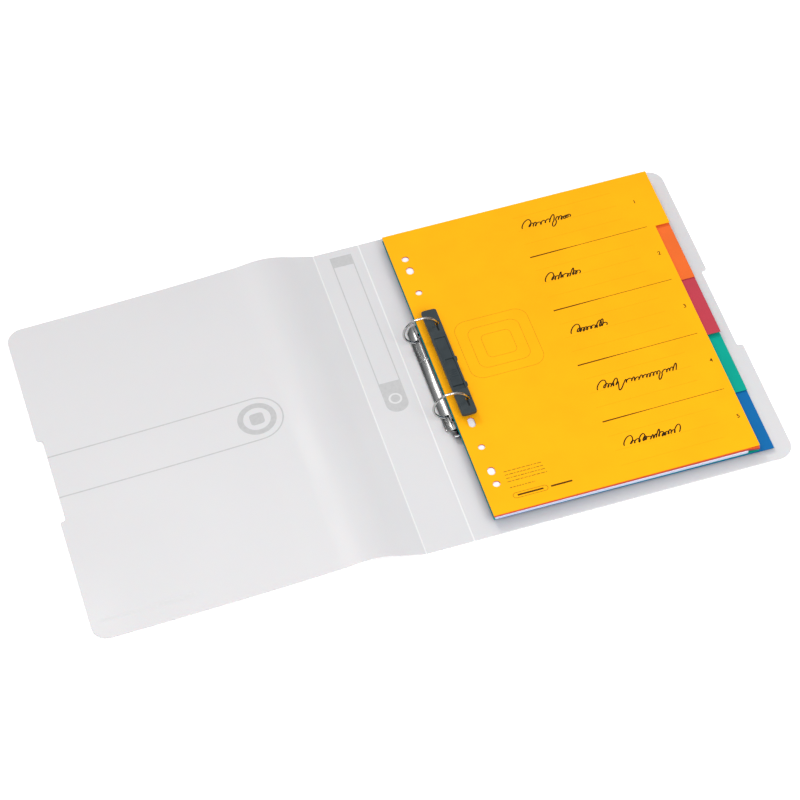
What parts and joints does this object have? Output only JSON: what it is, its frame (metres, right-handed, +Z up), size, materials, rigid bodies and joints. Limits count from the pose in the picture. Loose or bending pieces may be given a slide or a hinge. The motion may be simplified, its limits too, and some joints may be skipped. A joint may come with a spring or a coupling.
{
  "type": "two-ring binder",
  "caption": "Open two-ring binder of folded translucent plastic, with a lever mechanism, page retainer, tabbed dividers and paper.",
  "frame": {"origin": "centre of the spine's underside, on the surface the open binder lies on", "axes": "+X from the spine over the back cover with the rings and pages, +Y along the spine to the first tab, +Z up"},
  "size_m": [0.552, 0.315, 0.0327],
  "materials": {
    "cover": "frosted translucent polypropylene",
    "plated": "bright nickel plate",
    "steel": "zinc-plated sheet steel",
    "retainer": "dark slate moulded plastic",
    "yellow": "printed yellow polypropylene",
    "orange": "orange polypropylene",
    "red": "red polypropylene",
    "green": "green polypropylene",
    "blue": "blue polypropylene",
    "paper": "white office paper"
  },
  "bodies": {
    "back": {"back_cover": "cover", "mechanism_housing": "plated", "lever_pin": "steel", "rivet_lower": "plated", "rivet_upper": "plated"},
    "spine": {"spine_panel": "cover"},
    "front_strip": {"front_cover_strip": "cover"},
    "front_panel": {"front_cover_panel": "cover"},
    "left_rings": {"blade_left": "steel", "ring_lower_left": "plated", "ring_upper_left": "plated"},
    "right_rings": {"blade_right": "steel", "ring_lower_right": "plated", "ring_upper_right": "plated"},
    "lever": {"end_lever": "plated"},
    "paper": {"paper_stack": "paper"},
    "retainer": {"retainer_bar": "retainer"},
    "slider": {"retainer_slider": "retainer"},
    "divider_1": {"divider_1": "yellow"},
    "divider_2": {"divider_2": "orange"},
    "divider_3": {"divider_3": "red"},
    "divider_4": {"divider_4": "green"},
    "divider_5": {"divider_5": "blue"}
  },
  "joints": [
    {"name": "spine_fold", "type": "hinge", "parent": "back", "child": "spine", "pos_m": [0.019, 0, 0.0004], "axis": [0, 1, 0], "range_deg": [0, 90]},
    {"name": "cover_fold", "type": "hinge", "parent": "spine", "child": "front_strip", "pos_m": [-0.019, 0, 0.0004], "axis": [0, 1, 0], "range_deg": [0, 72.5]},
    {"name": "cover_flex", "type": "hinge", "parent": "front_strip", "child": "front_panel", "pos_m": [-0.05505, 0, 0.01177], "axis": [0, 1, 0], "range_deg": [0, 20.2]},
    {"name": "ring_open", "type": "hinge", "parent": "back", "child": "right_rings", "pos_m": [0.04445, 0, 0.0027], "axis": [0, 1, 0], "range_deg": [0, 8]},
    {"name": "ring_open_left", "type": "hinge", "parent": "back", "child": "left_rings", "pos_m": [0.03035, 0, 0.0027], "axis": [0, 1, 0], "range_deg": [-8, 0]},
    {"name": "lever_press", "type": "hinge", "parent": "back", "child": "lever", "pos_m": [0.0374, -0.0508, 0.00275], "axis": [1, 0, 0], "range_deg": [0, 14]},
    {"name": "page_turn", "type": "hinge", "parent": "back", "child": "paper", "pos_m": [0.0374, 0, 0.01763], "axis": [0, 1, 0], "range_deg": [-180.2, 0]},
    {"name": "page_turn_1", "type": "hinge", "parent": "back", "child": "divider_1", "pos_m": [0.0374, 0, 0.01763], "axis": [0, 1, 0], "range_deg": [-182.8, 0]},
    {"name": "page_turn_2", "type": "hinge", "parent": "back", "child": "divider_2", "pos_m": [0.0374, 0, 0.01763], "axis": [0, 1, 0], "range_deg": [-182, 0]},
    {"name": "page_turn_3", "type": "hinge", "parent": "back", "child": "divider_3", "pos_m": [0.0374, 0, 0.01763], "axis": [0, 1, 0], "range_deg": [-181.2, 0]},
    {"name": "page_turn_4", "type": "hinge", "parent": "back", "child": "divider_4", "pos_m": [0.0374, 0, 0.01763], "axis": [0, 1, 0], "range_deg": [-179.2, 0]},
    {"name": "page_turn_5", "type": "hinge", "parent": "back", "child": "divider_5", "pos_m": [0.0374, 0, 0.01763], "axis": [0, 1, 0], "range_deg": [-178.4, 0]},
    {"name": "retainer_turn", "type": "hinge", "parent": "right_rings", "child": "retainer", "pos_m": [0.0374, 0, 0.01763], "axis": [0, 1, 0], "range_deg": [-184, 0]},
    {"name": "slider_lock", "type": "slide", "parent": "retainer", "child": "slider", "axis": [0, 1, 0], "range_m": [-0.005, 0]}
  ],
  "couplings": [
    {"joint": "cover_flex", "follows": "cover_fold", "ratio": 0.27862},
    {"joint": "ring_open_left", "follows": "ring_open", "ratio": -1},
    {"joint": "lever_press", "follows": "ring_open", "ratio": 1.75},
    {"joint": "retainer_turn", "follows": "page_turn", "ratio": 1.0211},
    {"joint": "page_turn_1", "follows": "page_turn", "ratio": 1.0144},
    {"joint": "page_turn_2", "follows": "page_turn", "ratio": 1.01},
    {"joint": "page_turn_3", "follows": "page_turn", "ratio": 1.0055},
    {"joint": "page_turn_4", "follows": "page_turn", "ratio": 0.99445},
    {"joint": "page_turn_5", "follows": "page_turn", "ratio": 0.99001}
  ]
}
